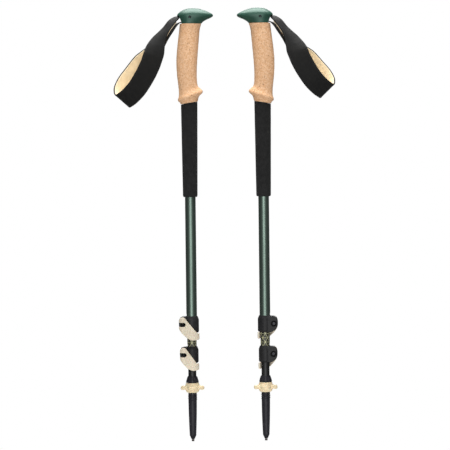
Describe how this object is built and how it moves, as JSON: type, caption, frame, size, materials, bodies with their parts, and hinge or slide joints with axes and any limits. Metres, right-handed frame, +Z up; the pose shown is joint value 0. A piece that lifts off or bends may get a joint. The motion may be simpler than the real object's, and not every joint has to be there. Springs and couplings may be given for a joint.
{
  "type": "telescoping trekking poles",
  "caption": "Pair of telescoping trekking poles with cork grips, padded wrist straps, lever clamps, baskets and hard tips.",
  "frame": {"origin": "on the left pole's axis at the middle of its cork grip, where a hand holds it, 570 mm above the point of its tip", "axes": "+Z up along the poles, +X from the left pole to the right pole, -Y the side that the left pole's clamp levers face"},
  "size_m": [0.3344, 0.0548, 0.6495],
  "materials": {
    "cap_green": "satin green moulded cap",
    "cork": "pressed natural cork granules, sealed",
    "foam_black": "closed-cell foam, matte",
    "anodised_green": "green anodised, satin",
    "patterned_black": "black anodised with a printed olive lattice",
    "anodised_black": "black anodised, satin",
    "black_plastic": "glass-filled nylon, fine texture",
    "lever_cream": "cream moulded lever",
    "basket_cream": "pale cream flexible plastic",
    "webbing_black": "tight woven polyester webbing",
    "lining_cream": "brushed soft lining over thin foam",
    "steel": "plain steel pin",
    "blackened_steel": "black oxide steel",
    "carbide": "sintered carbide, ground flat"
  },
  "bodies": {
    "left_upper_section": {"left_grip_cap": "cap_green", "left_grip_core": "black_plastic", "left_cork_grip": "cork", "left_foam_sleeve": "foam_black", "left_upper_tube": "anodised_green", "left_strap_pin": "steel", "left_strap_anchor": "webbing_black", "left_upper_clamp_collar": "black_plastic", "left_upper_cam_pin": "blackened_steel"},
    "left_middle_section": {"left_middle_tube": "patterned_black", "left_middle_end_plug": "black_plastic", "left_lower_clamp_collar": "black_plastic", "left_lower_cam_pin": "blackened_steel"},
    "left_lower_section": {"left_lower_tube": "anodised_black", "left_lower_end_plug": "black_plastic", "left_tip_ferrule": "black_plastic", "left_carbide_point": "carbide"},
    "left_upper_lever": {"left_upper_clamp_lever": "lever_cream"},
    "left_lower_lever": {"left_lower_clamp_lever": "lever_cream"},
    "left_upper_screw": {"left_upper_clamp_screw": "blackened_steel"},
    "left_lower_screw": {"left_lower_clamp_screw": "blackened_steel"},
    "left_strap": {"left_strap_webbing": "webbing_black", "left_strap_lining": "lining_cream"},
    "left_wedge": {"left_strap_wedge": "black_plastic"},
    "left_basket_body": {"left_basket": "basket_cream"},
    "right_upper_section": {"right_grip_cap": "cap_green", "right_grip_core": "black_plastic", "right_cork_grip": "cork", "right_foam_sleeve": "foam_black", "right_upper_tube": "anodised_green", "right_strap_pin": "steel", "right_strap_anchor": "webbing_black", "right_upper_clamp_collar": "black_plastic", "right_upper_cam_pin": "blackened_steel"},
    "right_middle_section": {"right_middle_tube": "patterned_black", "right_middle_end_plug": "black_plastic", "right_lower_clamp_collar": "black_plastic", "right_lower_cam_pin": "blackened_steel"},
    "right_lower_section": {"right_lower_tube": "anodised_black", "right_lower_end_plug": "black_plastic", "right_tip_ferrule": "black_plastic", "right_carbide_point": "carbide"},
    "right_upper_lever": {"right_upper_clamp_lever": "lever_cream"},
    "right_lower_lever": {"right_lower_clamp_lever": "lever_cream"},
    "right_upper_screw": {"right_upper_clamp_screw": "blackened_steel"},
    "right_lower_screw": {"right_lower_clamp_screw": "blackened_steel"},
    "right_strap": {"right_strap_webbing": "webbing_black", "right_strap_lining": "lining_cream"},
    "right_wedge": {"right_strap_wedge": "black_plastic"},
    "right_basket_body": {"right_basket": "basket_cream"}
  },
  "joints": [
    {"name": "left_middle_slide", "type": "slide", "parent": "left_upper_section", "child": "left_middle_section", "axis": [0, 0, -1], "range_m": [0, 0.375]},
    {"name": "left_lower_slide", "type": "slide", "parent": "left_middle_section", "child": "left_lower_section", "axis": [0, 0, -1], "range_m": [0, 0.375]},
    {"name": "left_upper_lever_flip", "type": "hinge", "parent": "left_upper_section", "child": "left_upper_lever", "pos_m": [-0.0132, -0.01155, -0.3939], "axis": [0, 0, -1], "range_deg": [0, 150]},
    {"name": "left_lower_lever_flip", "type": "hinge", "parent": "left_middle_section", "child": "left_lower_lever", "pos_m": [-0.0122, -0.01155, -0.4394], "axis": [0, 0, -1], "range_deg": [0, 150]},
    {"name": "left_upper_screw_turn", "type": "hinge", "parent": "left_upper_section", "child": "left_upper_screw", "pos_m": [-0.0132, 0, -0.3939], "axis": [0, 1, 0], "range_deg": [-180, 180]},
    {"name": "left_lower_screw_turn", "type": "hinge", "parent": "left_middle_section", "child": "left_lower_screw", "pos_m": [-0.0122, 0, -0.4394], "axis": [0, 1, 0], "range_deg": [-180, 180]},
    {"name": "left_strap_swing", "type": "hinge", "parent": "left_upper_section", "child": "left_strap", "pos_m": [-0.0161, 0, 0.0654], "axis": [0, 1, 0], "range_deg": [0, 65]},
    {"name": "left_wedge_slide", "type": "slide", "parent": "left_upper_section", "child": "left_wedge", "axis": [-1, 0, 0], "range_m": [0, 0.0025]},
    {"name": "left_basket_turn", "type": "hinge", "parent": "left_lower_section", "child": "left_basket_body", "pos_m": [0, 0, -0.49], "axis": [0, 0, 1], "range_deg": [0, 180]},
    {"name": "right_middle_slide", "type": "slide", "parent": "right_upper_section", "child": "right_middle_section", "axis": [0, 0, -1], "range_m": [0, 0.375]},
    {"name": "right_lower_slide", "type": "slide", "parent": "right_middle_section", "child": "right_lower_section", "axis": [0, 0, -1], "range_m": [0, 0.375]},
    {"name": "right_upper_lever_flip", "type": "hinge", "parent": "right_upper_section", "child": "right_upper_lever", "pos_m": [0.1232, 0.01155, -0.3939], "axis": [0, 0, -1], "range_deg": [0, 150]},
    {"name": "right_lower_lever_flip", "type": "hinge", "parent": "right_middle_section", "child": "right_lower_lever", "pos_m": [0.1222, 0.01155, -0.4394], "axis": [0, 0, -1], "range_deg": [0, 150]},
    {"name": "right_upper_screw_turn", "type": "hinge", "parent": "right_upper_section", "child": "right_upper_screw", "pos_m": [0.1232, 0, -0.3939], "axis": [0, -1, 0], "range_deg": [-180, 180]},
    {"name": "right_lower_screw_turn", "type": "hinge", "parent": "right_middle_section", "child": "right_lower_screw", "pos_m": [0.1222, 0, -0.4394], "axis": [0, -1, 0], "range_deg": [-180, 180]},
    {"name": "right_strap_swing", "type": "hinge", "parent": "right_upper_section", "child": "right_strap", "pos_m": [0.1261, 0, 0.0654], "axis": [0, -1, 0], "range_deg": [0, 65]},
    {"name": "right_wedge_slide", "type": "slide", "parent": "right_upper_section", "child": "right_wedge", "axis": [1, 0, 0], "range_m": [0, 0.0025]},
    {"name": "right_basket_turn", "type": "hinge", "parent": "right_lower_section", "child": "right_basket_body", "pos_m": [0.11, 0, -0.49], "axis": [0, 0, 1], "range_deg": [0, 180]},
    {"name": "pair_spread", "type": "slide", "parent": "left_upper_section", "child": "right_upper_section", "axis": [1, 0, 0], "range_m": [0, 0.2]}
  ]
}
